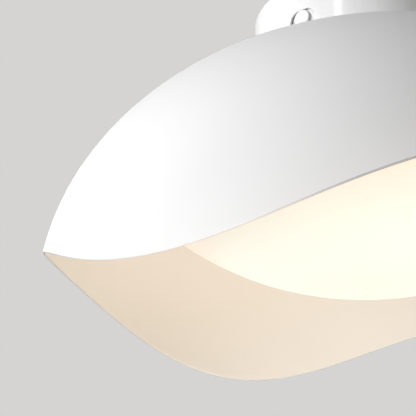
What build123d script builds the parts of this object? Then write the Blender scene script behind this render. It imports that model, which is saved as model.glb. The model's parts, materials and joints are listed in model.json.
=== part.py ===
from build123d import *
import os
from math import asin, cos, degrees, hypot, radians, sin, sqrt

# Flush mount ceiling light with a wavy dome shade, in millimetres.
# The origin is the centre of the ceiling plane, +Z points up into the ceiling,
# and the shade's three low lobes point to 0, 120 and 240 degrees.

# Dome shade
SHADE_RADIUS = 200.0
SHADE_RISE = 164.0
WIDEST_LEVEL = -191.0
SHADE_THICKNESS = 1.6
SEAT_RADIUS = 69.0
RIM_LEVEL = -178.5
RIM_RADIUS = 198.5
LOBES = 3
WAVE_HEIGHT = 21.6
WAVE_PINCH = 1.2
BELOW_RIM = 32.0
RIM_SAMPLES = 31
LOBE_ANGLES = (0.0, 120.0, 240.0)

# The canopy sits two degrees off the lobes, with the screws that carry it
SCREW_ANGLES = (-2.0, 118.0, 238.0)

# Canopy, a cup that covers the outlet box and sits on the shade's crown
CANOPY_RADIUS = 70.0
CANOPY_WALL = 1.2
CANOPY_FOOT_ROUNDING = 1.0
SLOT_LENGTH = 17.4
SLOT_HEIGHT = 11.6
SLOT_LEVEL = -25.6

# Mounting bracket, a round plate with three ears bent down
PLATE_RADIUS = 58.0
PLATE_THICKNESS = 2.0
WIRE_OPENING_RADIUS = 19.0
WIRE_OPENING_LIP = 2.0
BOX_SLOT_SPACING = 80.0
BOX_SLOT_LENGTH = 24.0
BOX_SLOT_WIDTH = 5.0
EAR_REACH = 62.0
EAR_WIDTH = 16.0
EAR_DEPTH = 32.0
EAR_CORNER = 4.0
BEND_OUTSIDE = 2.6
BEND_INSIDE = 0.6

# Side screws, which carry the canopy on the round caps of their heads
SIDE_SCREW_LEVEL = -25.4
SIDE_SCREW_RADIUS = 2.5
SIDE_SCREW_START = 53.0
SIDE_HEAD_START = 65.2
SIDE_HEAD_END = 69.0
SIDE_HEAD_RADIUS = 4.2
SIDE_SOCKET_WIDTH = 3.0
SIDE_SOCKET_DEPTH = 2.2
CAP_START = 64.9
CAP_END = 70.6
CAP_RADIUS = 5.3
CAP_ROUNDING = 0.8
EAR_NUT_ACROSS_FLATS = 8.0
EAR_NUT_HEIGHT = 4.0

# Centre tube with its nuts, washers and bushings
TUBE_RADIUS = 5.0
TUBE_BORE_RADIUS = 3.5
TUBE_HOLE_RADIUS = 5.25
TUBE_TOP = -28.0
TUBE_BOTTOM = -48.0
TUBE_NUT_ACROSS_FLATS = 16.0
TUBE_NUT_HEIGHT = 3.5
WASHER_RADIUS = 9.0
WASHER_HEIGHT = 0.8
WASHER_TEETH = 12
BUSHING_RADIUS = 6.6
BUSHING_HEIGHT = 4.0
BUSHING_LIP = 1.0

# Lamp pan, a spun bowl that carries the light engine and the diffuser
PAN_THICKNESS = 1.2
PAN_TOP_RADIUS = 56.0
PAN_RIM_LEVEL = -104.0
PAN_WALL_RADIUS = 148.0
PAN_LIP_RADIUS = 160.0
PAN_LIP_BOTTOM = -114.0
PAN_CORNER = 8.0
PAN_LIP_CORNER = 2.0

# Diffuser, an opal cap of a sphere with an upright rim
DIFFUSER_BOTTOM = -178.0
DIFFUSER_CURVE = 211.0
DIFFUSER_RADIUS = 153.0
DIFFUSER_THICKNESS = 2.0
DIFFUSER_CORNER = 6.0
DIFFUSER_TOP = -107.5

# Bayonet: lugs on the diffuser turn onto steel catches inside the pan's lip
LUG_REACH = 157.4
LUG_HEIGHT = 2.5
LUG_SPAN = 7.8
CATCH_OUTER = 158.75
CATCH_INNER = 154.2
CATCH_THICKNESS = 1.0
CATCH_TOP = -110.3
CATCH_LEG_TOP = -106.0
CATCH_SPAN = 10.4
STOP_SPAN = 1.15
STOP_HEIGHT = 2.4
GASKET_INNER = 149.8
GASKET_OUTER = 156.6
GASKET_HEIGHT = 2.0

# Heat plate and LED board
HEAT_PLATE_TOP = -76.0
HEAT_PLATE_RADIUS = 90.0
HEAT_PLATE_THICKNESS = 2.0
BOARD_RADIUS = 84.0
BOARD_THICKNESS = 1.2
CABLE_HOLE_RADIUS = 7.0
CHIP_LENGTH = 3.5
CHIP_WIDTH = 2.8
CHIP_HEIGHT = 0.7
CHIP_RINGS = ((30.0, 8), (52.0, 16), (74.0, 24))
STANDOFF_RING = 45.0
STANDOFF_ANGLES = (90.0, 195.0, 345.0)
STANDOFF_ACROSS_FLATS = 7.0
STANDOFF_SPIGOT_RADIUS = 2.6
BOARD_SCREW_RING = 63.0
BOARD_SCREW_ANGLES = (30.0, 150.0, 270.0)
CONNECTOR_LENGTH = 12.0
CONNECTOR_WIDTH = 9.0
CONNECTOR_HEIGHT = 4.5
CONNECTOR_X = -17.0

# Driver, on top of the heat plate
DRIVER_LENGTH = 80.0
DRIVER_WIDTH = 36.0
DRIVER_HEIGHT = 22.0
DRIVER_Y = -36.0
DRIVER_ROUNDING = 2.5
DRIVER_SEAM_LEVEL = 15.0
DRIVER_SEAM = 0.6
DRIVER_EAR_LENGTH = 9.0
DRIVER_EAR_WIDTH = 14.0
DRIVER_EAR_HEIGHT = 2.0
DRIVER_SCREW_X = 44.5

# Terminal block on the canopy floor
BLOCK_X = -30.0
BLOCK_LENGTH = 16.0
BLOCK_WIDTH = 25.0
BLOCK_HEIGHT = 12.0
BLOCK_EAR_LENGTH = 8.0
BLOCK_EAR_REACH = 36.0
BLOCK_EAR_HEIGHT = 3.0
BLOCK_SCREW_Y = 15.5
POLE_PITCH = 8.0
POLE_HEIGHT = 3.45
POLE_BORE_RADIUS = 1.4
POLE_WELL_RADIUS = 2.2
POLE_WELL_DEPTH = 7.5
CLAMP_SCREW_RADIUS = 1.9
CLAMP_SCREW_HEIGHT = 4.0
CLAMP_SCREW_LIFT = 1.8

# Pan-head screws with a cross recess
M4_RADIUS = 2.0
M4_HEAD_RADIUS = 3.9
M4_HEAD_HEIGHT = 2.4
M3_RADIUS = 1.5
M3_HEAD_RADIUS = 2.8
M3_HEAD_HEIGHT = 1.9
CROSS_LENGTH = 3.4
CROSS_WIDTH = 0.8
CROSS_DEPTH = 1.0
BRACKET_GROUND_PLACE = (24.0, 20.0)
CANOPY_GROUND_PLACE = (-13.0, 33.0)

# Ground eyelet and insulated leads
EYELET_RADIUS = 3.9
EYELET_THICKNESS = 0.8
EYELET_TONGUE = 3.0
BARREL_RADIUS = 1.7
BARREL_START = 4.6
BARREL_LENGTH = 5.0
LEAD_RADIUS = 1.1
LEAD_BEND = 5.0


def dome_level(radius):
    """Level of the dome's outside at a distance from the axis."""
    return WIDEST_LEVEL + SHADE_RISE * sqrt(1 - (radius / SHADE_RADIUS) ** 2)


# Levels of the stack that the centre tube clamps together
SEAT_LEVEL = dome_level(SEAT_RADIUS)
FLOOR_TOP = SEAT_LEVEL + CANOPY_WALL
PAN_TOP = SEAT_LEVEL - SHADE_THICKNESS
PAN_UNDERSIDE = PAN_TOP - PAN_THICKNESS
HEAT_PLATE_UNDERSIDE = HEAT_PLATE_TOP - HEAT_PLATE_THICKNESS
BOARD_UNDERSIDE = HEAT_PLATE_UNDERSIDE - BOARD_THICKNESS


def rim_level(x, y):
    """Level of the wavy rim: three lobes, with a small second wave that pinches the low ones."""
    turn = complex(x, y) / RIM_RADIUS
    return RIM_LEVEL - WAVE_HEIGHT * (turn**LOBES).real - WAVE_PINCH * (turn ** (2 * LOBES)).real


def round_place(radius, angle, level=0.0):
    """The point at a radius, an angle about the light's axis and a level."""
    return (radius * cos(radians(angle)), radius * sin(radians(angle)), level)


def outward_plane(angle, level, radius):
    """A plane that faces outwards from the axis, with its x along the wall and its y upwards."""
    along = (-sin(radians(angle)), cos(radians(angle)), 0)
    return Plane(origin=round_place(radius, angle, level), x_dir=along, z_dir=round_place(1, angle))


def dome_section(inset):
    """Half section of the solid dome under its flat crown, shrunk by an inset."""
    with BuildSketch() as section:
        with Locations((0, WIDEST_LEVEL)):
            Ellipse(SHADE_RADIUS - inset, SHADE_RISE - inset)
        with Locations((TUBE_HOLE_RADIUS, SEAT_LEVEL - inset)):
            Rectangle(SHADE_RADIUS, 2 * SHADE_RADIUS, align=(Align.MIN, Align.MAX), mode=Mode.INTERSECT)
    return section.sketch


def ring_sector(inner, outer, angle, span):
    """Part of a flat ring, centred on an angle."""
    with BuildSketch() as sector:
        with BuildLine():
            outside = CenterArc((0, 0), outer, angle - span / 2, span)
            inside = CenterArc((0, 0), inner, angle - span / 2, span)
            Line(outside @ 0, inside @ 0)
            Line(outside @ 1, inside @ 1)
        make_face()
    return sector.sketch


def floor_screw_holes():
    """Holes that the canopy floor and the shade's crown share, for the block and the ground screw."""
    with BuildSketch() as holes:
        with Locations(CANOPY_GROUND_PLACE):
            Circle(M4_RADIUS)
        with Locations((BLOCK_X, BLOCK_SCREW_Y), (BLOCK_X, -BLOCK_SCREW_Y)):
            Circle(M3_RADIUS)
    return holes.sketch


def pan_head_screw(radius, length, head_radius, head_height):
    """A screw that points up, with the underside of its head at the origin and a cross recess."""
    with BuildPart() as screw:
        with BuildSketch():
            Circle(radius)
        extrude(amount=length)
        with BuildSketch():
            Circle(head_radius)
        extrude(amount=-head_height)
        with BuildSketch(Plane.XY.offset(-head_height)):
            Rectangle(CROSS_LENGTH, CROSS_WIDTH)
            Rectangle(CROSS_WIDTH, CROSS_LENGTH)
        extrude(amount=CROSS_DEPTH, mode=Mode.SUBTRACT)
    return screw.part


def lead(points):
    """An insulated wire along a route of straight runs joined by arcs."""
    with BuildPart() as wire:
        with BuildLine() as route:
            FilletPolyline(*points, radius=LEAD_BEND)
        with BuildSketch(Plane(origin=route.line @ 0, z_dir=route.line % 0)):
            Circle(LEAD_RADIUS)
        sweep(path=route.line)
    return wire.part


os.makedirs("parts", exist_ok=True)

# Mounting bracket: pressed plate with slots for the outlet box, a lipped wire opening and three ears
with BuildPart() as mounting_bracket:
    with BuildSketch(Plane.XY.offset(-PLATE_THICKNESS)):
        Circle(PLATE_RADIUS)
        with PolarLocations(0, LOBES, start_angle=SCREW_ANGLES[0]):
            Rectangle(EAR_REACH, EAR_WIDTH, align=(Align.MIN, Align.CENTER))
        Circle(WIRE_OPENING_RADIUS, mode=Mode.SUBTRACT)
        with GridLocations(BOX_SLOT_SPACING, 0, 2, 1):
            SlotOverall(BOX_SLOT_LENGTH, BOX_SLOT_WIDTH, mode=Mode.SUBTRACT)
        with Locations(BRACKET_GROUND_PLACE):
            Circle(M4_RADIUS, mode=Mode.SUBTRACT)
    extrude(amount=PLATE_THICKNESS)
    with BuildSketch(Plane.XY.offset(-PLATE_THICKNESS)):
        Circle(WIRE_OPENING_RADIUS + PLATE_THICKNESS)
        Circle(WIRE_OPENING_RADIUS, mode=Mode.SUBTRACT)
    extrude(amount=-WIRE_OPENING_LIP)
    for angle in SCREW_ANGLES:
        with BuildSketch(outward_plane(angle, 0, EAR_REACH)):
            Rectangle(EAR_WIDTH, EAR_DEPTH, align=(Align.CENTER, Align.MAX))
            fillet(vertices().group_by(Axis.Y)[0], EAR_CORNER)
            with Locations((0, SIDE_SCREW_LEVEL)):
                Circle(SIDE_SCREW_RADIUS, mode=Mode.SUBTRACT)
        extrude(amount=-PLATE_THICKNESS)
    ear_bends = mounting_bracket.edges().filter_by(
        lambda edge: edge.geom_type == GeomType.LINE
        and abs(edge.center().Z) < 0.01
        and abs(hypot(edge.center().X, edge.center().Y) - EAR_REACH) < 0.01
    )
    fillet(ear_bends, BEND_OUTSIDE)
    inner_bends = mounting_bracket.edges().filter_by(
        lambda edge: edge.geom_type == GeomType.LINE
        and abs(edge.center().Z + PLATE_THICKNESS) < 0.01
        and abs(hypot(edge.center().X, edge.center().Y) - EAR_REACH + PLATE_THICKNESS) < 0.01
    )
    fillet(inner_bends, BEND_INSIDE)
mounting_bracket.part.label = "mounting_bracket"
export_step(mounting_bracket.part, "parts/mounting_bracket.step")

# Clinch nuts on the inside of the ears
with BuildPart() as ear_nuts:
    for angle in SCREW_ANGLES:
        with BuildSketch(outward_plane(angle, SIDE_SCREW_LEVEL, EAR_REACH - PLATE_THICKNESS)):
            RegularPolygon(EAR_NUT_ACROSS_FLATS / 2, 6, major_radius=False)
            Circle(SIDE_SCREW_RADIUS, mode=Mode.SUBTRACT)
        extrude(amount=-EAR_NUT_HEIGHT)
ear_nuts.part.label = "ear_nuts"
export_step(ear_nuts.part, "parts/ear_nuts.step")

# Side screws: long shank, cheese head with a hexagon socket
with BuildPart() as side_screws:
    for angle in SCREW_ANGLES:
        with BuildSketch(outward_plane(angle, SIDE_SCREW_LEVEL, SIDE_SCREW_START)):
            Circle(SIDE_SCREW_RADIUS)
        extrude(amount=SIDE_HEAD_START - SIDE_SCREW_START)
        with BuildSketch(outward_plane(angle, SIDE_SCREW_LEVEL, SIDE_HEAD_START)):
            Circle(SIDE_HEAD_RADIUS)
        extrude(amount=SIDE_HEAD_END - SIDE_HEAD_START)
        with BuildSketch(outward_plane(angle, SIDE_SCREW_LEVEL, SIDE_HEAD_END)):
            RegularPolygon(SIDE_SOCKET_WIDTH / 2, 6, major_radius=False)
        extrude(amount=-SIDE_SOCKET_DEPTH, mode=Mode.SUBTRACT)
side_screws.part.label = "side_screws"
export_step(side_screws.part, "parts/side_screws.step")

# White snap caps over the heads of the side screws
with BuildPart() as screw_caps:
    for angle in SCREW_ANGLES:
        with BuildSketch(outward_plane(angle, SIDE_SCREW_LEVEL, CAP_START)):
            Circle(CAP_RADIUS)
        extrude(amount=CAP_END - CAP_START)
        with BuildSketch(outward_plane(angle, SIDE_SCREW_LEVEL, CAP_START)):
            Circle(SIDE_HEAD_RADIUS)
        extrude(amount=SIDE_HEAD_END - CAP_START, mode=Mode.SUBTRACT)
    cap_rims = screw_caps.edges().filter_by(
        lambda edge: edge.geom_type == GeomType.CIRCLE
        and abs(hypot(edge.arc_center.X, edge.arc_center.Y) - CAP_END) < 0.01
    )
    fillet(cap_rims, CAP_ROUNDING)
screw_caps.part.label = "screw_caps"
export_step(screw_caps.part, "parts/screw_caps.step")

# Canopy: drawn cup with a small rounding at its foot and three slots for the capped screws
with BuildPart() as canopy:
    with BuildSketch(Plane.XZ):
        with BuildLine():
            FilletPolyline(
                (TUBE_HOLE_RADIUS, SEAT_LEVEL),
                (CANOPY_RADIUS, SEAT_LEVEL),
                (CANOPY_RADIUS, 0),
                radius=CANOPY_FOOT_ROUNDING + CANOPY_WALL,
            )
            offset(amount=CANOPY_WALL, side=Side.LEFT)
        make_face()
    revolve(axis=Axis.Z)
    for angle in SCREW_ANGLES:
        with BuildSketch(outward_plane(angle, SLOT_LEVEL, PLATE_RADIUS)):
            SlotOverall(SLOT_LENGTH, SLOT_HEIGHT)
        extrude(amount=CANOPY_RADIUS, mode=Mode.SUBTRACT)
    with BuildSketch(Plane.XY.offset(FLOOR_TOP)):
        add(floor_screw_holes())
    extrude(amount=-2 * CANOPY_WALL, mode=Mode.SUBTRACT)
canopy.part.label = "canopy"
export_step(canopy.part, "parts/canopy.step")

# Shade: thin half-ellipse dome with a flat crown, its rim cut by a smooth three-lobed surface
rim_step = 2.2 * SHADE_RADIUS / (RIM_SAMPLES - 1)
rim_places = [(step - (RIM_SAMPLES - 1) / 2) * rim_step for step in range(RIM_SAMPLES)]
rim_surface = Face.make_surface_from_array_of_points(
    [[Vector(x, y, rim_level(x, y)) for y in rim_places] for x in rim_places], tol=0.02, max_deg=6
)
with BuildPart() as shade:
    with BuildSketch(Plane.XZ):
        add(dome_section(0))
        add(dome_section(SHADE_THICKNESS), mode=Mode.SUBTRACT)
        with Locations((0, RIM_LEVEL - BELOW_RIM)):
            Rectangle(SHADE_RADIUS, SHADE_RADIUS, align=(Align.MIN, Align.MIN), mode=Mode.INTERSECT)
    revolve(axis=Axis.Z)
    extrude(rim_surface, amount=2 * BELOW_RIM, dir=(0, 0, -1), mode=Mode.SUBTRACT)
    with BuildSketch(Plane.XY.offset(SEAT_LEVEL)):
        add(floor_screw_holes())
    extrude(amount=-2 * SHADE_THICKNESS, mode=Mode.SUBTRACT)
shade.part.label = "shade"
export_step(shade.part, "parts/shade.step")

# Centre tube
with BuildPart() as centre_tube:
    with BuildSketch(Plane.XY.offset(TUBE_BOTTOM)):
        Circle(TUBE_RADIUS)
        Circle(TUBE_BORE_RADIUS, mode=Mode.SUBTRACT)
    extrude(amount=TUBE_TOP - TUBE_BOTTOM)
centre_tube.part.label = "centre_tube"
export_step(centre_tube.part, "parts/centre_tube.step")

# Nuts on the centre tube, above the canopy floor and below the pan
with BuildPart() as tube_nuts:
    for level in (FLOOR_TOP + WASHER_HEIGHT, PAN_UNDERSIDE - WASHER_HEIGHT - TUBE_NUT_HEIGHT):
        with BuildSketch(Plane.XY.offset(level)):
            RegularPolygon(TUBE_NUT_ACROSS_FLATS / 2, 6, major_radius=False)
            Circle(TUBE_RADIUS, mode=Mode.SUBTRACT)
        extrude(amount=TUBE_NUT_HEIGHT)
tube_nuts.part.label = "tube_nuts"
export_step(tube_nuts.part, "parts/tube_nuts.step")

# Toothed washers under the nuts
with BuildPart() as toothed_washers:
    for level in (FLOOR_TOP, PAN_UNDERSIDE - WASHER_HEIGHT):
        with BuildSketch(Plane.XY.offset(level)):
            Circle(WASHER_RADIUS)
            with PolarLocations(WASHER_RADIUS, WASHER_TEETH):
                Rectangle(2.4, 1.6, mode=Mode.SUBTRACT)
            Circle(TUBE_RADIUS, mode=Mode.SUBTRACT)
        extrude(amount=WASHER_HEIGHT)
toothed_washers.part.label = "toothed_washers"
export_step(toothed_washers.part, "parts/toothed_washers.step")

# Plastic bushings that guard the leads at both ends of the tube
with BuildPart() as tube_bushings:
    for end_level, way in ((TUBE_TOP, 1), (TUBE_BOTTOM, -1)):
        with BuildSketch(Plane.XY.offset(end_level + way * BUSHING_LIP)):
            Circle(BUSHING_RADIUS)
        extrude(amount=-way * BUSHING_HEIGHT)
        with BuildSketch(Plane.XY.offset(end_level)):
            Circle(TUBE_RADIUS)
        extrude(amount=-way * BUSHING_HEIGHT, mode=Mode.SUBTRACT)
        with BuildSketch(Plane.XY.offset(end_level)):
            Circle(TUBE_BORE_RADIUS)
        extrude(amount=way * BUSHING_LIP, mode=Mode.SUBTRACT)
tube_bushings.part.label = "tube_bushings"
export_step(tube_bushings.part, "parts/tube_bushings.step")

# Lamp pan: flat top, cone, flange and a turned-down lip
with BuildPart() as lamp_pan:
    with BuildSketch(Plane.XZ):
        with BuildLine():
            FilletPolyline(
                (TUBE_HOLE_RADIUS, PAN_TOP),
                (PAN_TOP_RADIUS, PAN_TOP),
                (PAN_WALL_RADIUS, PAN_RIM_LEVEL),
                (PAN_LIP_RADIUS, PAN_RIM_LEVEL),
                (PAN_LIP_RADIUS, PAN_LIP_BOTTOM),
                radius=(PAN_CORNER, PAN_CORNER, PAN_LIP_CORNER),
            )
            offset(amount=PAN_THICKNESS, side=Side.RIGHT)
        make_face()
    revolve(axis=Axis.Z)
    with BuildSketch(Plane.XY.offset(PAN_TOP)):
        for angle in STANDOFF_ANGLES:
            with Locations(round_place(STANDOFF_RING, angle)):
                Circle(STANDOFF_SPIGOT_RADIUS)
    extrude(amount=-2 * PAN_THICKNESS, mode=Mode.SUBTRACT)
lamp_pan.part.label = "lamp_pan"
export_step(lamp_pan.part, "parts/lamp_pan.step")

# Bayonet catches: angle pieces welded inside the pan's lip, each with an end stop
with BuildPart() as bayonet_catches:
    for angle in LOBE_ANGLES:
        with BuildSketch(Plane.XY.offset(CATCH_TOP - CATCH_THICKNESS)):
            add(ring_sector(CATCH_INNER, CATCH_OUTER, angle, CATCH_SPAN))
        extrude(amount=CATCH_THICKNESS)
        with BuildSketch(Plane.XY.offset(CATCH_TOP)):
            add(ring_sector(CATCH_OUTER - CATCH_THICKNESS, CATCH_OUTER, angle, CATCH_SPAN))
        extrude(amount=CATCH_LEG_TOP - CATCH_TOP)
        with BuildSketch(Plane.XY.offset(CATCH_TOP)):
            add(ring_sector(CATCH_INNER, CATCH_OUTER, angle + (CATCH_SPAN - STOP_SPAN) / 2, STOP_SPAN))
        extrude(amount=STOP_HEIGHT)
bayonet_catches.part.label = "bayonet_catches"
export_step(bayonet_catches.part, "parts/bayonet_catches.step")

# Gasket between the pan's flange and the diffuser's rim
with BuildPart() as diffuser_gasket:
    with BuildSketch(Plane.XY.offset(PAN_RIM_LEVEL - PAN_THICKNESS)):
        Circle(GASKET_OUTER)
        Circle(GASKET_INNER, mode=Mode.SUBTRACT)
    extrude(amount=-GASKET_HEIGHT)
diffuser_gasket.part.label = "diffuser_gasket"
export_step(diffuser_gasket.part, "parts/diffuser_gasket.step")

# Diffuser: opal cap of a sphere, rounded up into a rim with three bayonet lugs
cap_angle = degrees(asin((DIFFUSER_RADIUS - DIFFUSER_CORNER) / (DIFFUSER_CURVE - DIFFUSER_CORNER)))
with BuildPart() as diffuser:
    with BuildSketch(Plane.XZ):
        with BuildLine():
            cap = CenterArc((0, DIFFUSER_BOTTOM + DIFFUSER_CURVE), DIFFUSER_CURVE, -90, cap_angle)
            corner = JernArc(cap @ 1, cap % 1, DIFFUSER_CORNER, 90 - cap_angle)
            Line(corner @ 1, (DIFFUSER_RADIUS, DIFFUSER_TOP))
            offset(amount=DIFFUSER_THICKNESS, side=Side.LEFT)
        make_face()
    revolve(axis=Axis.Z)
    with BuildSketch(Plane.XY.offset(DIFFUSER_TOP - LUG_HEIGHT)):
        for angle in LOBE_ANGLES:
            add(ring_sector(DIFFUSER_RADIUS - DIFFUSER_THICKNESS / 2, LUG_REACH, angle, LUG_SPAN))
    extrude(amount=LUG_HEIGHT)
diffuser.part.label = "diffuser"
export_step(diffuser.part, "parts/diffuser.step")

# Standoffs: hexagon pillars clinched into the pan's top, which hang the heat plate
with BuildPart() as standoffs:
    for angle in STANDOFF_ANGLES:
        with BuildSketch(Plane.XY.offset(HEAT_PLATE_TOP)):
            with Locations(round_place(STANDOFF_RING, angle)):
                RegularPolygon(STANDOFF_ACROSS_FLATS / 2, 6, major_radius=False)
        extrude(amount=PAN_UNDERSIDE - HEAT_PLATE_TOP)
        with BuildSketch(Plane.XY.offset(PAN_UNDERSIDE)):
            with Locations(round_place(STANDOFF_RING, angle)):
                Circle(STANDOFF_SPIGOT_RADIUS)
        extrude(amount=PAN_THICKNESS)
        with BuildSketch(Plane.XY.offset(HEAT_PLATE_TOP)):
            with Locations(round_place(STANDOFF_RING, angle)):
                Circle(M4_RADIUS)
        extrude(amount=8, mode=Mode.SUBTRACT)
standoffs.part.label = "standoffs"
export_step(standoffs.part, "parts/standoffs.step")

# Heat plate with its cable hole and screw holes
with BuildPart() as heat_plate:
    with BuildSketch(Plane.XY.offset(HEAT_PLATE_UNDERSIDE)):
        Circle(HEAT_PLATE_RADIUS)
        Circle(CABLE_HOLE_RADIUS, mode=Mode.SUBTRACT)
        for angle in STANDOFF_ANGLES:
            with Locations(round_place(STANDOFF_RING, angle)):
                Circle(M4_RADIUS, mode=Mode.SUBTRACT)
        for angle in BOARD_SCREW_ANGLES:
            with Locations(round_place(BOARD_SCREW_RING, angle)):
                Circle(M3_RADIUS, mode=Mode.SUBTRACT)
        with Locations((DRIVER_SCREW_X, DRIVER_Y), (-DRIVER_SCREW_X, DRIVER_Y)):
            Circle(M3_RADIUS, mode=Mode.SUBTRACT)
    extrude(amount=HEAT_PLATE_THICKNESS)
heat_plate.part.label = "heat_plate"
export_step(heat_plate.part, "parts/heat_plate.step")

# Screws up through the heat plate into the standoffs
plate_screw = pan_head_screw(M4_RADIUS, 8.0, M4_HEAD_RADIUS, M4_HEAD_HEIGHT)
with BuildPart() as plate_screws:
    with Locations([round_place(STANDOFF_RING, angle, HEAT_PLATE_UNDERSIDE) for angle in STANDOFF_ANGLES]):
        add(plate_screw)
plate_screws.part.label = "plate_screws"
export_step(plate_screws.part, "parts/plate_screws.step")

# LED board under the heat plate, cleared around the plate screws
with BuildPart() as led_board:
    with BuildSketch(Plane.XY.offset(BOARD_UNDERSIDE)):
        Circle(BOARD_RADIUS)
        Circle(CABLE_HOLE_RADIUS, mode=Mode.SUBTRACT)
        for angle in STANDOFF_ANGLES:
            with Locations(round_place(STANDOFF_RING, angle)):
                Circle(M4_HEAD_RADIUS + 1, mode=Mode.SUBTRACT)
        for angle in BOARD_SCREW_ANGLES:
            with Locations(round_place(BOARD_SCREW_RING, angle)):
                Circle(M3_RADIUS, mode=Mode.SUBTRACT)
    extrude(amount=BOARD_THICKNESS)
led_board.part.label = "led_board"
export_step(led_board.part, "parts/led_board.step")

# LED chips in three rings
with BuildPart() as led_chips:
    with BuildSketch(Plane.XY.offset(BOARD_UNDERSIDE)):
        for ring_radius, count in CHIP_RINGS:
            with PolarLocations(ring_radius, count, start_angle=180 / count):
                Rectangle(CHIP_WIDTH, CHIP_LENGTH)
    extrude(amount=-CHIP_HEIGHT)
led_chips.part.label = "led_chips"
export_step(led_chips.part, "parts/led_chips.step")

# Screws that hold the board to the heat plate
board_screw = pan_head_screw(M3_RADIUS, BOARD_THICKNESS + HEAT_PLATE_THICKNESS, M3_HEAD_RADIUS, M3_HEAD_HEIGHT)
with BuildPart() as board_screws:
    with Locations([round_place(BOARD_SCREW_RING, angle, BOARD_UNDERSIDE) for angle in BOARD_SCREW_ANGLES]):
        add(board_screw)
board_screws.part.label = "board_screws"
export_step(board_screws.part, "parts/board_screws.step")

# Connector on the board, with an open side for its two leads
with BuildPart() as board_connector:
    with BuildSketch(Plane.XY.offset(BOARD_UNDERSIDE)):
        with Locations((CONNECTOR_X, 0)):
            RectangleRounded(CONNECTOR_LENGTH, CONNECTOR_WIDTH, 0.8)
    extrude(amount=-CONNECTOR_HEIGHT)
    with BuildSketch(Plane.YZ.offset(CONNECTOR_X + CONNECTOR_LENGTH / 2)):
        with Locations((0, BOARD_UNDERSIDE - CONNECTOR_HEIGHT / 2)):
            with GridLocations(2 * 1.8, 0, 2, 1):
                Circle(LEAD_RADIUS + 0.2)
    extrude(amount=-6, mode=Mode.SUBTRACT)
board_connector.part.label = "board_connector"
export_step(board_connector.part, "parts/board_connector.step")

# Driver: potted case with a seam below its lid and an ear at each end
with BuildPart() as driver:
    with BuildSketch(Plane.XY.offset(HEAT_PLATE_TOP)):
        with Locations((0, DRIVER_Y)):
            RectangleRounded(DRIVER_LENGTH, DRIVER_WIDTH, DRIVER_ROUNDING)
    extrude(amount=DRIVER_HEIGHT)
    with BuildSketch(Plane.XY.offset(HEAT_PLATE_TOP + DRIVER_SEAM_LEVEL)):
        with Locations((0, DRIVER_Y)):
            RectangleRounded(DRIVER_LENGTH, DRIVER_WIDTH, DRIVER_ROUNDING)
            RectangleRounded(
                DRIVER_LENGTH - 2 * DRIVER_SEAM,
                DRIVER_WIDTH - 2 * DRIVER_SEAM,
                DRIVER_ROUNDING - DRIVER_SEAM,
                mode=Mode.SUBTRACT,
            )
    extrude(amount=DRIVER_SEAM, mode=Mode.SUBTRACT)
    with BuildSketch(Plane.XY.offset(HEAT_PLATE_TOP)):
        with Locations((0, DRIVER_Y)):
            RectangleRounded(DRIVER_LENGTH + 2 * DRIVER_EAR_LENGTH, DRIVER_EAR_WIDTH, 3)
        with Locations((DRIVER_SCREW_X, DRIVER_Y), (-DRIVER_SCREW_X, DRIVER_Y)):
            Circle(M3_RADIUS, mode=Mode.SUBTRACT)
    extrude(amount=DRIVER_EAR_HEIGHT)
    with BuildSketch(Plane.XZ.offset(-(DRIVER_Y + DRIVER_WIDTH / 2))):
        with Locations((1.3, -58), (-1.3, -58), (1.8, -65), (-1.8, -65)):
            Circle(LEAD_RADIUS + 0.1)
    extrude(amount=4, mode=Mode.SUBTRACT)
driver.part.label = "driver"
export_step(driver.part, "parts/driver.step")

# Screws that hold the driver's ears
driver_screw = pan_head_screw(M3_RADIUS, DRIVER_EAR_HEIGHT + HEAT_PLATE_THICKNESS, M3_HEAD_RADIUS, M3_HEAD_HEIGHT)
with BuildPart() as driver_screws:
    for x in (-DRIVER_SCREW_X, DRIVER_SCREW_X):
        with Locations(Location((x, DRIVER_Y, HEAT_PLATE_TOP + DRIVER_EAR_HEIGHT), (180, 0, 0))):
            add(driver_screw)
driver_screws.part.label = "driver_screws"
export_step(driver_screws.part, "parts/driver_screws.step")

# Terminal block: three poles side by side, with a wire bore right through and a screw well each
with BuildPart() as terminal_block:
    with BuildSketch(Plane.XY.offset(FLOOR_TOP)):
        with Locations((BLOCK_X, 0)):
            RectangleRounded(BLOCK_LENGTH, BLOCK_WIDTH, 1)
            with GridLocations(0, POLE_PITCH, 1, 2):
                with Locations((BLOCK_LENGTH / 2, 0), (-BLOCK_LENGTH / 2, 0)):
                    Rectangle(3, 1, mode=Mode.SUBTRACT)
    extrude(amount=BLOCK_HEIGHT)
    with BuildSketch(Plane.XY.offset(FLOOR_TOP)):
        with Locations((BLOCK_X, 0)):
            RectangleRounded(BLOCK_EAR_LENGTH, BLOCK_EAR_REACH, 2)
            with GridLocations(0, 2 * BLOCK_SCREW_Y, 1, 2):
                Circle(M3_RADIUS, mode=Mode.SUBTRACT)
    extrude(amount=BLOCK_EAR_HEIGHT)
    with BuildSketch(Plane.XY.offset(FLOOR_TOP + BLOCK_HEIGHT)):
        with Locations((BLOCK_X, 0)):
            with GridLocations(0, POLE_PITCH, 1, 3):
                Circle(POLE_WELL_RADIUS)
    extrude(amount=-POLE_WELL_DEPTH, mode=Mode.SUBTRACT)
    with BuildSketch(Plane.YZ.offset(BLOCK_X - BLOCK_LENGTH / 2)):
        with Locations((0, FLOOR_TOP + POLE_HEIGHT)):
            with GridLocations(POLE_PITCH, 0, 3, 1):
                Circle(POLE_BORE_RADIUS)
    extrude(amount=BLOCK_LENGTH, mode=Mode.SUBTRACT)
terminal_block.part.label = "terminal_block"
export_step(terminal_block.part, "parts/terminal_block.step")

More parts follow.
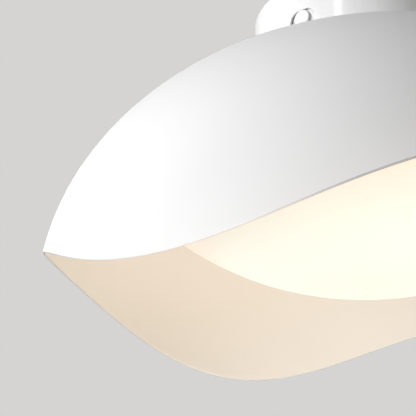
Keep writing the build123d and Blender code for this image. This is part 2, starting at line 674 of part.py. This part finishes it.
# Slotted clamp screws in the wells of the terminal block
with BuildPart() as clamp_screws:
    with BuildSketch(Plane.XY.offset(FLOOR_TOP + BLOCK_HEIGHT - POLE_WELL_DEPTH + CLAMP_SCREW_LIFT)):
        with Locations((BLOCK_X, 0)):
            with GridLocations(0, POLE_PITCH, 1, 3):
                Circle(CLAMP_SCREW_RADIUS)
    extrude(amount=CLAMP_SCREW_HEIGHT)
    with BuildSketch(Plane.XY.offset(clamp_screws.part.bounding_box().max.Z)):
        with Locations((BLOCK_X, 0)):
            with GridLocations(0, POLE_PITCH, 1, 3):
                Rectangle(2 * CLAMP_SCREW_RADIUS, 0.7)
    extrude(amount=-1, mode=Mode.SUBTRACT)
clamp_screws.part.label = "clamp_screws"
export_step(clamp_screws.part, "parts/clamp_screws.step")

# Screws that hold the terminal block down
block_screw_length = BLOCK_EAR_HEIGHT + CANOPY_WALL + SHADE_THICKNESS
block_screw = pan_head_screw(M3_RADIUS, block_screw_length, M3_HEAD_RADIUS, M3_HEAD_HEIGHT)
with BuildPart() as block_screws:
    for y in (-BLOCK_SCREW_Y, BLOCK_SCREW_Y):
        with Locations(Location((BLOCK_X, y, FLOOR_TOP + BLOCK_EAR_HEIGHT), (180, 0, 0))):
            add(block_screw)
block_screws.part.label = "block_screws"
export_step(block_screws.part, "parts/block_screws.step")

# Green ground screw in the bracket, for the installer's wire
bracket_screw = pan_head_screw(M4_RADIUS, PLATE_THICKNESS, M4_HEAD_RADIUS, M4_HEAD_HEIGHT)
with BuildPart() as bracket_ground_screw:
    with Locations((*BRACKET_GROUND_PLACE, -PLATE_THICKNESS)):
        add(bracket_screw)
bracket_ground_screw.part.label = "bracket_ground_screw"
export_step(bracket_ground_screw.part, "parts/bracket_ground_screw.step")

# Crimped eyelet on the canopy's ground lead
with BuildPart() as ground_eyelet:
    with BuildSketch(Plane.XY.offset(FLOOR_TOP)):
        with Locations(CANOPY_GROUND_PLACE):
            Circle(EYELET_RADIUS)
            Rectangle(EYELET_TONGUE, BARREL_START + 1, align=(Align.CENTER, Align.MAX))
            Circle(M4_RADIUS, mode=Mode.SUBTRACT)
    extrude(amount=EYELET_THICKNESS)
    with BuildSketch(Plane.XZ.offset(BARREL_START - CANOPY_GROUND_PLACE[1])):
        with Locations((CANOPY_GROUND_PLACE[0], FLOOR_TOP + BARREL_RADIUS)):
            Circle(BARREL_RADIUS)
    extrude(amount=BARREL_LENGTH)
    with BuildSketch(Plane.XZ.offset(BARREL_START - CANOPY_GROUND_PLACE[1])):
        with Locations((CANOPY_GROUND_PLACE[0], FLOOR_TOP + BARREL_RADIUS)):
            Circle(LEAD_RADIUS)
    extrude(amount=BARREL_LENGTH, mode=Mode.SUBTRACT)
ground_eyelet.part.label = "ground_eyelet"
export_step(ground_eyelet.part, "parts/ground_eyelet.step")

# Ground screw that clamps the eyelet to the canopy floor
canopy_screw_length = EYELET_THICKNESS + CANOPY_WALL + SHADE_THICKNESS
canopy_screw = pan_head_screw(M4_RADIUS, canopy_screw_length, M4_HEAD_RADIUS, M4_HEAD_HEIGHT)
with BuildPart() as canopy_ground_screw:
    with Locations(Location((*CANOPY_GROUND_PLACE, FLOOR_TOP + EYELET_THICKNESS), (180, 0, 0))):
        add(canopy_screw)
canopy_ground_screw.part.label = "canopy_ground_screw"
export_step(canopy_ground_screw.part, "parts/canopy_ground_screw.step")

# Supply leads: from two poles of the block, down the centre tube and into the driver
entry_x = BLOCK_X + BLOCK_LENGTH / 2 - 3
entry_level = FLOOR_TOP + POLE_HEIGHT
driver_face = DRIVER_Y + DRIVER_WIDTH / 2 - 3
with BuildPart() as supply_leads:
    for pole_y, crossing_level, tube_x in ((0, -13.5, 1.3), (-POLE_PITCH, -17.5, -1.3)):
        add(
            lead(
                (
                    (entry_x, pole_y, entry_level),
                    (-14, pole_y, entry_level),
                    (-14, pole_y, crossing_level),
                    (tube_x, 0, crossing_level),
                    (tube_x, 0, -58),
                    (tube_x, driver_face, -58),
                )
            )
        )
supply_leads.part.label = "supply_leads"
export_step(supply_leads.part, "parts/supply_leads.step")

# LED leads: out of the driver, down through the cable hole and into the board's connector
connector_entry = CONNECTOR_X + CONNECTOR_LENGTH / 2 - 3
connector_level = BOARD_UNDERSIDE - CONNECTOR_HEIGHT / 2
with BuildPart() as led_leads:
    for side in (-1.8, 1.8):
        add(
            lead(
                (
                    (side, driver_face, -65),
                    (side, side, -65),
                    (side, side, connector_level),
                    (connector_entry, side, connector_level),
                )
            )
        )
led_leads.part.label = "led_leads"
export_step(led_leads.part, "parts/led_leads.step")

# Ground lead: from the third pole to the eyelet
barrel_level = FLOOR_TOP + BARREL_RADIUS
ground_x, ground_y = CANOPY_GROUND_PLACE
with BuildPart() as ground_lead:
    add(
        lead(
            (
                (entry_x, POLE_PITCH, entry_level),
                (ground_x, POLE_PITCH, entry_level),
                (ground_x, ground_y - 15, barrel_level),
                (ground_x, ground_y - BARREL_START - 0.5, barrel_level),
            )
        )
    )
ground_lead.part.label = "ground_lead"
export_step(ground_lead.part, "parts/ground_lead.step")
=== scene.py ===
import json
import math

import bpy
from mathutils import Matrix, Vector


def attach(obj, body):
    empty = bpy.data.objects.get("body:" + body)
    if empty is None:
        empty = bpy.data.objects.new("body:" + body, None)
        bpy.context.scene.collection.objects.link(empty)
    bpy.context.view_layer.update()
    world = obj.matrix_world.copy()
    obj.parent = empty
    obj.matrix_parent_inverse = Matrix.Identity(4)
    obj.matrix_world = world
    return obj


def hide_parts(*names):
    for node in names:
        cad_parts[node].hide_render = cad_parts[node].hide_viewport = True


# Flush mount ceiling light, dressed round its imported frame.
# Everything is in metres. The origin is the centre of the ceiling plane, +Z points up into the
# ceiling, and the shade's three low lobes point to 0, 120 and 240 degrees.

# Dome shade, with the same form as its solid
SHADE_RADIUS = 0.200
SHADE_RISE = 0.164
WIDEST_LEVEL = -0.191
SHADE_THICKNESS = 0.0016
SEAT_RADIUS = 0.069
TUBE_HOLE_RADIUS = 0.00525
RIM_LEVEL = -0.1785
RIM_RADIUS = 0.1985
LOBES = 3
WAVE_HEIGHT = 0.0216
WAVE_PINCH = 0.0012
EDGE_STEPS = 8
# Points of the rounded edge that take the edge's material, with its grey painted shade
SHADED_RIM_STEPS = 5
SHADE_TURNS = 480
SHADE_STEPS = 64
RIM_SEARCH_FROM = 60
RIM_SEARCH_TO = 110
RIM_SEARCH_STEPS = 40
SHARP_ANGLE = 40

# Materials of the shade's mesh, in the order in which it holds them
OUTSIDE, EDGE, INSIDE = 0, 1, 2

# Camera, fitted to the photograph's curves
CAMERA_PLACE = (-0.0189, -0.5780, -0.3246)
CAMERA_HEADING = 98.188
CAMERA_PITCH = 19.185
CAMERA_LENS = 85.12
CAMERA_SENSOR = 36.0

# Colours, as linear red, green and blue
BACKGROUND = (0.665, 0.658, 0.645)
SHADE_WHITE = (0.885, 0.885, 0.885)
INSIDE_CREAM = (0.90, 0.88, 0.83)
# Grey painted on the rim's edge as shade, where the rim runs high
SHADED_RIM_GREY = (0.50, 0.53, 0.56)
CANOPY_WHITE = (0.90, 0.90, 0.90)
CAP_WHITE = (0.90, 0.90, 0.90)
OPAL_WHITE = (0.75, 0.74, 0.70)

# Surfaces: how strongly paints mirror, and the orange peel of powder coat in metres
COAT_SPECULAR = 0.15
ENAMEL_SPECULAR = 0.75
PEEL_SCALE = 700.0
PEEL_HEIGHT = 0.00002
PEEL_STRENGTH = 0.35

# Values of a noise between which a colour drifts from its darker to its lighter shade
NOISE_LOW = 0.3
NOISE_HIGH = 0.7

# Shares of the wave's height between which the rim's edge turns from its white paint to a grey painted
# shade
WHITE_RIM_SHARE = 0.12
SHADED_RIM_SHARE = 0.45

# Glow of the diffuser at distances from its middle: even over the chips, and warmer at its rim
OPAL_RADIUS = 0.160
OPAL_GLOW = (
    (0.000, (0.51, 0.485, 0.40)),
    (0.030, (0.51, 0.49, 0.41)),
    (0.050, (0.51, 0.51, 0.44)),
    (0.080, (0.52, 0.53, 0.455)),
    (0.090, (0.52, 0.513, 0.435)),
    (0.107, (0.515, 0.43, 0.355)),
    (0.116, (0.51, 0.39, 0.295)),
    (0.160, (0.48, 0.34, 0.24)),
)

# Slides behind the canopy's slots
SCREW_TURNS = (-2.0, 118.0, 238.0)
SLIDE_LEVEL = -0.0254
SLIDE_RADIUS = 0.0683
SLIDE_THICKNESS = 0.001
SLIDE_HOLE = 0.0053
SLIDE_HALF_WIDTH = 0.0124
SLIDE_HALF_HEIGHT = 0.0076
SLIDE_SQUARENESS = 5
SLIDE_SPOKES = 48
SLIDE_RINGS = 5
SLIDE_GREY = (0.62, 0.62, 0.63)

# Lamps, and the soft light from all round
LAMP_TARGET = (0.0, 0.0, -0.15)
LAMP_DISTANCE = 2.0
AMBIENT = (0.02, 0.02, 0.02)

# Floor of the room below the light, with the share of the backdrop's tone that it keeps in the dark
FLOOR_LEVEL = -2.4
FLOOR_SIZE = 14.0
FLOOR_GLOW = 0.8


def direction(heading, pitch):
    """Unit vector at a heading from +X and a pitch above the horizon, in degrees."""
    turn, rise = math.radians(heading), math.radians(pitch)
    return Vector((math.cos(turn) * math.cos(rise), math.sin(turn) * math.cos(rise), math.sin(rise)))


def new_material(name, color, roughness, metallic=0.0):
    """A material with its shader set to one colour, and its node tree."""
    material = bpy.data.materials.new(name)
    material.use_nodes = True
    shader = material.node_tree.nodes["Principled BSDF"]
    shader.inputs["Base Color"].default_value = (*color, 1)
    shader.inputs["Roughness"].default_value = roughness
    shader.inputs["Metallic"].default_value = metallic
    return material, material.node_tree, shader


def object_place(tree, scale=(1, 1, 1)):
    """Object coordinates, stretched by a scale."""
    coordinates = tree.nodes.new("ShaderNodeTexCoord")
    mapping = tree.nodes.new("ShaderNodeMapping")
    mapping.inputs["Scale"].default_value = scale
    tree.links.new(coordinates.outputs["Object"], mapping.inputs["Vector"])
    return mapping.outputs["Vector"]


def noise(tree, place, scale, detail=2.0):
    """Noise at a scale, as one value."""
    texture = tree.nodes.new("ShaderNodeTexNoise")
    texture.inputs["Scale"].default_value = scale
    texture.inputs["Detail"].default_value = detail
    tree.links.new(place, texture.inputs["Vector"])
    return texture.outputs["Fac"]


def ramp(tree, value, stops):
    """Colours blended along a value, from (position, colour) stops."""
    node = tree.nodes.new("ShaderNodeValToRGB")
    tree.links.new(value, node.inputs["Fac"])
    elements = node.color_ramp.elements
    while len(elements) < len(stops):
        elements.new(0.5)
    for element, (position, color) in zip(elements, stops):
        element.position = position
        element.color = (*color, 1)
    return node.outputs["Color"]


def shades_of(color, spread):
    """A colour made a little darker and a little lighter."""
    return [tuple(min(1.0, part * (1 + side * spread)) for part in color) for side in (-1, 1)]


def vary_color(tree, shader, value, color, spread):
    """Lets the base colour drift a little with a value."""
    darker, lighter = shades_of(color, spread)
    drift = ramp(tree, value, ((NOISE_LOW, darker), (NOISE_HIGH, lighter)))
    tree.links.new(drift, shader.inputs["Base Color"])


def add_bump(tree, shader, value, height, strength):
    """Raises the surface by a value, up to a height in metres."""
    bump = tree.nodes.new("ShaderNodeBump")
    bump.inputs["Strength"].default_value = strength
    bump.inputs["Distance"].default_value = height
    tree.links.new(value, bump.inputs["Height"])
    tree.links.new(bump.outputs["Normal"], shader.inputs["Normal"])


def add_orange_peel(tree, shader, place):
    """Gives a surface the fine grain of powder coat."""
    add_bump(tree, shader, noise(tree, place, PEEL_SCALE), PEEL_HEIGHT, PEEL_STRENGTH)


def powder_coat(name, color, roughness):
    """Powder-coated sheet metal: a fine orange peel and a faint drift of tone."""
    material, tree, shader = new_material(name, color, roughness)
    place = object_place(tree)
    vary_color(tree, shader, noise(tree, place, 9.0), color, 0.012)
    add_orange_peel(tree, shader, place)
    shader.inputs["Specular IOR Level"].default_value = COAT_SPECULAR
    return material


def painted_shade_rim(name):
    """Edge of the sheet: a grey painted shade where the rim runs high, and white paint towards its low
    lobes.
    """
    material, tree, shader = new_material(name, SHADED_RIM_GREY, 0.5)
    place = object_place(tree)
    parts = tree.nodes.new("ShaderNodeSeparateXYZ")
    tree.links.new(place, parts.inputs["Vector"])
    height = tree.nodes.new("ShaderNodeMapRange")
    height.inputs["From Min"].default_value = RIM_LEVEL - WAVE_HEIGHT
    height.inputs["From Max"].default_value = RIM_LEVEL + WAVE_HEIGHT
    tree.links.new(parts.outputs["Z"], height.inputs["Value"])
    # The grey is painted shade, white towards the low lobes and grey towards the high runs of the rim
    stops = ((WHITE_RIM_SHARE, SHADE_WHITE), (SHADED_RIM_SHARE, SHADED_RIM_GREY))
    tree.links.new(ramp(tree, height.outputs["Result"], stops), shader.inputs["Base Color"])
    add_orange_peel(tree, shader, place)
    return material


def streaked_enamel(name, color, roughness):
    """Enamel over drawn metal, with faint upright streaks round the axis."""
    material, tree, shader = new_material(name, color, roughness)
    parts = tree.nodes.new("ShaderNodeSeparateXYZ")
    tree.links.new(object_place(tree), parts.inputs["Vector"])
    turn = tree.nodes.new("ShaderNodeMath")
    turn.operation = "ARCTAN2"
    tree.links.new(parts.outputs["Y"], turn.inputs[0])
    tree.links.new(parts.outputs["X"], turn.inputs[1])
    place = tree.nodes.new("ShaderNodeCombineXYZ")
    tree.links.new(turn.outputs["Value"], place.inputs["X"])
    tree.links.new(parts.outputs["Z"], place.inputs["Z"])
    streaks = noise(tree, place.outputs["Vector"], 26.0, 4.0)
    vary_color(tree, shader, streaks, color, 0.02)
    add_bump(tree, shader, streaks, 0.0001, 0.3)
    shader.inputs["Specular IOR Level"].default_value = ENAMEL_SPECULAR
    return material


def molded_plastic(name, color, roughness):
    """Moulded plastic with a very fine grain."""
    material, tree, shader = new_material(name, color, roughness)
    place = object_place(tree)
    vary_color(tree, shader, noise(tree, place, 60.0), color, 0.02)
    add_bump(tree, shader, noise(tree, place, 2200.0), 0.00001, 0.4)
    return material


def plated_metal(name, color, roughness, stretch=(1, 1, 1)):
    """Plated or bare metal, its fine brushing stretched along an axis."""
    material, tree, shader = new_material(name, color, roughness, 1.0)
    brushing = noise(tree, object_place(tree, stretch), 400.0, 3.0)
    vary_color(tree, shader, brushing, color, 0.06)
    add_bump(tree, shader, brushing, 0.00001, 0.3)
    return material


def lit_opal(name):
    """Opal acrylic lit from behind: almost white in the middle and warmer towards its rim."""
    material, tree, shader = new_material(name, OPAL_WHITE, 0.35)
    place = object_place(tree)
    parts = tree.nodes.new("ShaderNodeSeparateXYZ")
    tree.links.new(place, parts.inputs["Vector"])
    flat = tree.nodes.new("ShaderNodeCombineXYZ")
    tree.links.new(parts.outputs["X"], flat.inputs["X"])
    tree.links.new(parts.outputs["Y"], flat.inputs["Y"])
    distance = tree.nodes.new("ShaderNodeVectorMath")
    distance.operation = "LENGTH"
    tree.links.new(flat.outputs["Vector"], distance.inputs[0])
    share = tree.nodes.new("ShaderNodeMath")
    share.operation = "DIVIDE"
    share.inputs[1].default_value = OPAL_RADIUS
    tree.links.new(distance.outputs["Value"], share.inputs[0])
    stops = [(radius / OPAL_RADIUS, color) for radius, color in OPAL_GLOW]
    tree.links.new(ramp(tree, share.outputs["Value"], stops), shader.inputs["Emission Color"])
    shader.inputs["Emission Strength"].default_value = 1.0
    add_bump(tree, shader, noise(tree, place, 500.0), 0.00001, 0.2)
    return material


def soft_rubber(name, color):
    """Foam rubber with open pores."""
    material, tree, shader = new_material(name, color, 0.9)
    pores = noise(tree, object_place(tree), 1500.0, 4.0)
    vary_color(tree, shader, pores, color, 0.08)
    add_bump(tree, shader, pores, 0.0002, 0.6)
    return material


# Finish of each material slot in the record
FINISHES = {
    "zinc_steel": lambda: plated_metal("zinc_plate", (0.72, 0.73, 0.75), 0.32),
    "white_plastic": lambda: molded_plastic("white_plastic", CAP_WHITE, 0.38),
    "black_plastic": lambda: molded_plastic("black_plastic", (0.03, 0.03, 0.03), 0.5),
    "green_screw": lambda: powder_coat("green_lacquer", (0.03, 0.25, 0.06), 0.35),
    "white_gloss_paint": lambda: streaked_enamel("canopy_enamel", CANOPY_WHITE, 0.14),
    "white_satin_paint": lambda: powder_coat("satin_powder_coat", SHADE_WHITE, 0.5),
    "gasket_rubber": lambda: soft_rubber("white_foam_rubber", (0.75, 0.75, 0.73)),
    "opal_acrylic": lambda: lit_opal("lit_opal_acrylic"),
    "bare_aluminium": lambda: plated_metal("bare_aluminium", (0.8, 0.81, 0.82), 0.4, (1, 12, 1)),
    "board_white": lambda: molded_plastic("white_solder_mask", (0.85, 0.85, 0.83), 0.35),
    "chip_yellow": lambda: molded_plastic("yellow_phosphor", (0.9, 0.7, 0.15), 0.3),
    "brass": lambda: plated_metal("brass", (0.75, 0.58, 0.25), 0.3),
    "black_lead": lambda: molded_plastic("black_insulation", (0.02, 0.02, 0.02), 0.4),
    "red_lead": lambda: molded_plastic("red_insulation", (0.45, 0.02, 0.02), 0.4),
    "green_lead": lambda: molded_plastic("green_insulation", (0.02, 0.22, 0.05), 0.4),
}


def rim_level(x, y):
    """Level of the shade's wavy rim above or below a place."""
    turn = complex(x, y) / RIM_RADIUS
    return RIM_LEVEL - WAVE_HEIGHT * (turn**LOBES).real - WAVE_PINCH * (turn ** (2 * LOBES)).real


def dome_place(inset, turn, drop):
    """Point of the dome, shrunk by an inset, at a turn about the axis and an angle down from the crown."""
    radius = (SHADE_RADIUS - inset) * math.sin(drop)
    level = WIDEST_LEVEL + (SHADE_RISE - inset) * math.cos(drop)
    return Vector((radius * math.cos(turn), radius * math.sin(turn), level))


def rim_drop(inset, turn):
    """Angle down from the crown at which the dome meets its wavy rim."""
    above, below = math.radians(RIM_SEARCH_FROM), math.radians(RIM_SEARCH_TO)
    for _ in range(RIM_SEARCH_STEPS):
        middle = (above + below) / 2
        place = dome_place(inset, turn, middle)
        if place.z > rim_level(place.x, place.y):
            above = middle
        else:
            below = middle
    return above


def seat_drop(inset):
    """Angle down from the crown at which the dome's flat seat ends."""
    seat_level = WIDEST_LEVEL + SHADE_RISE * math.sqrt(1 - (SEAT_RADIUS / SHADE_RADIUS) ** 2)
    return math.acos((seat_level - inset - WIDEST_LEVEL) / (SHADE_RISE - inset))


def wall_run(inset, turn):
    """Points down one side of the shade, from the crown's hole to where its rim starts to round."""
    start = seat_drop(inset)
    end = rim_drop(inset, turn) - SHADE_THICKNESS / 2 / SHADE_RADIUS
    edge_of_seat = dome_place(inset, turn, start)
    hole = Vector((TUBE_HOLE_RADIUS * math.cos(turn), TUBE_HOLE_RADIUS * math.sin(turn), edge_of_seat.z))
    steps = [start + (end - start) * step / SHADE_STEPS for step in range(SHADE_STEPS + 1)]
    return [hole] + [dome_place(inset, turn, drop) for drop in steps]


def rounded_edge(outer, inner, corner):
    """Points of a half-round edge that joins the two sides of the sheet."""
    middle = (outer + inner) / 2
    half = (outer - inner) / 2
    down = (corner - outer).normalized() * half.length
    turns = [math.pi * step / EDGE_STEPS for step in range(1, EDGE_STEPS)]
    return [middle + half * math.cos(turn) + down * math.sin(turn) for turn in turns]


def shade_section(turn):
    """Closed section of the shade in one direction, and the material of each run after a point."""
    outer = wall_run(0.0, turn)
    inner = wall_run(SHADE_THICKNESS, turn)
    corner = dome_place(0.0, turn, rim_drop(0.0, turn))
    points = outer + rounded_edge(outer[-1], inner[-1], corner) + inner[::-1]
    kinds = [OUTSIDE] * (len(outer) - 1) + [EDGE] * SHADED_RIM_STEPS
    return points, kinds + [INSIDE] * (len(points) - len(kinds))


def build_mesh(name, vertices, faces, kinds, materials):
    """A mesh object with smooth faces, each with its own material."""
    mesh = bpy.data.meshes.new(name)
    mesh.from_pydata(vertices, [], faces)
    for material in materials:
        mesh.materials.append(material)
    mesh.polygons.foreach_set("material_index", kinds)
    mesh.polygons.foreach_set("use_smooth", [True] * len(faces))
    mesh.update()
    mesh.set_sharp_from_angle(angle=math.radians(SHARP_ANGLE))
    piece = bpy.data.objects.new(name, mesh)
    bpy.context.scene.collection.objects.link(piece)
    return piece


def make_shade():
    """The dome shade: white outside, cream inside, with a thin edge along its wavy rim that is painted
    grey as shade where the rim runs high.
    """
    vertices, faces, kinds = [], [], []
    sections = [shade_section(2 * math.pi * step / SHADE_TURNS) for step in range(SHADE_TURNS)]
    length = len(sections[0][0])
    for step, (points, section_kinds) in enumerate(sections):
        vertices.extend(points)
        kinds.extend(section_kinds)
        here = step * length
        there = (step + 1) % SHADE_TURNS * length
        for place in range(length):
            after = (place + 1) % length
            faces.append((here + place, here + after, there + after, there + place))
    materials = [
        powder_coat("shade_outside", SHADE_WHITE, 0.5),
        # The edge's material paints grey shade along the high runs of the rim
        painted_shade_rim("rim_painted_shade"),
        powder_coat("shade_inside", INSIDE_CREAM, 0.55),
    ]
    return build_mesh("shade_skin", vertices, faces, kinds, materials)


def slide_outline(turn):
    """Distance from a slide's middle to its rounded outline, in one direction."""
    across = abs(math.cos(turn)) / SLIDE_HALF_WIDTH
    along = abs(math.sin(turn)) / SLIDE_HALF_HEIGHT
    return (across**SLIDE_SQUARENESS + along**SLIDE_SQUARENESS) ** (-1 / SLIDE_SQUARENESS)


def slide_loop(screw_turn, share, radius):
    """A closed loop round a slide's hole, at a share of the way to its outline."""
    loop = []
    for spoke in range(SLIDE_SPOKES):
        turn = 2 * math.pi * spoke / SLIDE_SPOKES
        reach = SLIDE_HOLE + (slide_outline(turn) - SLIDE_HOLE) * share
        heading = screw_turn + reach * math.cos(turn) / SLIDE_RADIUS
        level = SLIDE_LEVEL + reach * math.sin(turn)
        loop.append((radius * math.cos(heading), radius * math.sin(heading), level))
    return loop


def make_slides():
    """Thin steel plates behind the canopy's slots, each carried by its capped screw."""
    vertices, faces = [], []
    shares = [ring / SLIDE_RINGS for ring in range(SLIDE_RINGS + 1)]
    sides = [(share, SLIDE_RADIUS) for share in shares]
    sides += [(share, SLIDE_RADIUS - SLIDE_THICKNESS) for share in reversed(shares)]
    for degrees in SCREW_TURNS:
        base = len(vertices)
        for share, radius in sides:
            vertices.extend(slide_loop(math.radians(degrees), share, radius))
        for loop in range(len(sides)):
            here = base + loop * SLIDE_SPOKES
            there = base + (loop + 1) % len(sides) * SLIDE_SPOKES
            for spoke in range(SLIDE_SPOKES):
                after = (spoke + 1) % SLIDE_SPOKES
                faces.append((here + spoke, here + after, there + after, there + spoke))
    steel = plated_metal("slide_steel", SLIDE_GREY, 0.4)
    return build_mesh("slot_slides", vertices, faces, [0] * len(faces), [steel])


def make_camera():
    """The photograph's camera: level, a little to the left of the axis, looking up at the light."""
    data = bpy.data.cameras.new("camera")
    data.lens = CAMERA_LENS
    data.sensor_width = CAMERA_SENSOR
    camera = bpy.data.objects.new("camera", data)
    camera.location = CAMERA_PLACE
    ahead = direction(CAMERA_HEADING, CAMERA_PITCH)
    camera.rotation_euler = ahead.to_track_quat("-Z", "Y").to_euler()
    bpy.context.scene.collection.objects.link(camera)
    bpy.context.scene.camera = camera


def make_lamp(name, turn, rise, width, height, power, color=(1, 1, 1)):
    """A soft lamp, turned from the camera's side of the light and raised, in degrees."""
    data = bpy.data.lights.new(name, "AREA")
    data.shape = "RECTANGLE"
    data.size = width
    data.size_y = height
    data.energy = power
    data.color = color
    lamp = bpy.data.objects.new(name, data)
    way = direction(CAMERA_HEADING + 180 + turn, rise)
    lamp.location = Vector(LAMP_TARGET) + way * LAMP_DISTANCE
    lamp.rotation_euler = (-way).to_track_quat("-Z", "Y").to_euler()
    lamp.visible_camera = False
    bpy.context.scene.collection.objects.link(lamp)


def backdrop_share(tree):
    """One for rays that should see the plain backdrop, straight, mirrored or through glass."""
    path = tree.nodes.new("ShaderNodeLightPath")
    shares = [path.outputs[name] for name in ("Is Camera Ray", "Is Glossy Ray", "Is Transmission Ray")]
    for_all = shares[0]
    for share in shares[1:]:
        either = tree.nodes.new("ShaderNodeMath")
        either.operation = "MAXIMUM"
        tree.links.new(for_all, either.inputs[0])
        tree.links.new(share, either.inputs[1])
        for_all = either.outputs["Value"]
    return for_all


def make_world(ambient):
    """A plain pale grey backdrop, with a weaker soft light from all round."""
    world = bpy.data.worlds.new("studio")
    world.use_nodes = True
    tree = world.node_tree
    light = tree.nodes["Background"]
    light.inputs["Color"].default_value = (*ambient, 1)
    backdrop = tree.nodes.new("ShaderNodeBackground")
    backdrop.inputs["Color"].default_value = (*BACKGROUND, 1)
    mix = tree.nodes.new("ShaderNodeMixShader")
    tree.links.new(backdrop_share(tree), mix.inputs["Fac"])
    tree.links.new(light.outputs["Background"], mix.inputs[1])
    tree.links.new(backdrop.outputs["Background"], mix.inputs[2])
    tree.links.new(mix.outputs["Shader"], tree.nodes["World Output"].inputs["Surface"])
    bpy.context.scene.world = world


def make_floor():
    """A wide pale floor, as far below as a room's, with a little of the backdrop's own tone."""
    half = FLOOR_SIZE / 2
    corners = [(x * half, y * half, FLOOR_LEVEL) for x, y in ((-1, -1), (1, -1), (1, 1), (-1, 1))]
    material, tree, shader = new_material("pale_floor", BACKGROUND, 0.8)
    vary_color(tree, shader, noise(tree, object_place(tree), 1.5), BACKGROUND, 0.01)
    glow = tree.nodes.new("ShaderNodeEmission")
    glow.inputs["Color"].default_value = (*(part * FLOOR_GLOW for part in BACKGROUND), 1)
    tree.links.new(backdrop_share(tree), glow.inputs["Strength"])
    both = tree.nodes.new("ShaderNodeAddShader")
    tree.links.new(shader.outputs["BSDF"], both.inputs[0])
    tree.links.new(glow.outputs["Emission"], both.inputs[1])
    tree.links.new(both.outputs["Shader"], tree.nodes["Material Output"].inputs["Surface"])
    floor = build_mesh("floor", corners, [(0, 1, 2, 3)], [0], [material])


def dress_frame(frame):
    """Gives every solid of the frame the finish of its material slot."""
    finishes = {}
    for part in frame["record"]["subparts"]:
        slot = part["material_slot"]
        if slot not in finishes:
            finishes[slot] = FINISHES[slot]()
        mesh = frame["nodes"][part["node"]].data
        mesh.materials.clear()
        mesh.materials.append(finishes[slot])


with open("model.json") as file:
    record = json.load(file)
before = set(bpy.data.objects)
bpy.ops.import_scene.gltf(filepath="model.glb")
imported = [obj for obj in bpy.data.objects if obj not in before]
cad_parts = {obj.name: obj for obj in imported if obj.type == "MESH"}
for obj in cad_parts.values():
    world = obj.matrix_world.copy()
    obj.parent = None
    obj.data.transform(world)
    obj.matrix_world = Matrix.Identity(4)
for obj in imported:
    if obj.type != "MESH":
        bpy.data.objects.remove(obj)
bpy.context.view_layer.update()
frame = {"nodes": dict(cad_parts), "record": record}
bpy.context.scene.view_settings.view_transform = "Standard"
make_camera()
dress_frame(frame)

shade_skin = make_shade()
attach(shade_skin, "fixture")
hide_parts("shade")

slides = make_slides()
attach(slides, "ceiling_bracket")

make_world(AMBIENT)
make_floor()
make_lamp("key_left", -57, 0, 1.2, 1.2, 36.6)
make_lamp("side_high", -90, 50, 0.9, 0.9, 8.7)
make_lamp("strip", -33, 30, 0.2, 0.9, 2.6)
make_lamp("warm_below", 56, -51, 0.9, 0.9, 25.3, (1.0, 0.88, 0.762))
make_lamp("fill_right", 122, 16, 1.2, 0.9, 15.0)
make_lamp("fill_behind", 180, 16, 1.2, 0.9, 12.0)
make_lamp("fill_left", -135, 16, 1.2, 0.9, 6.0)
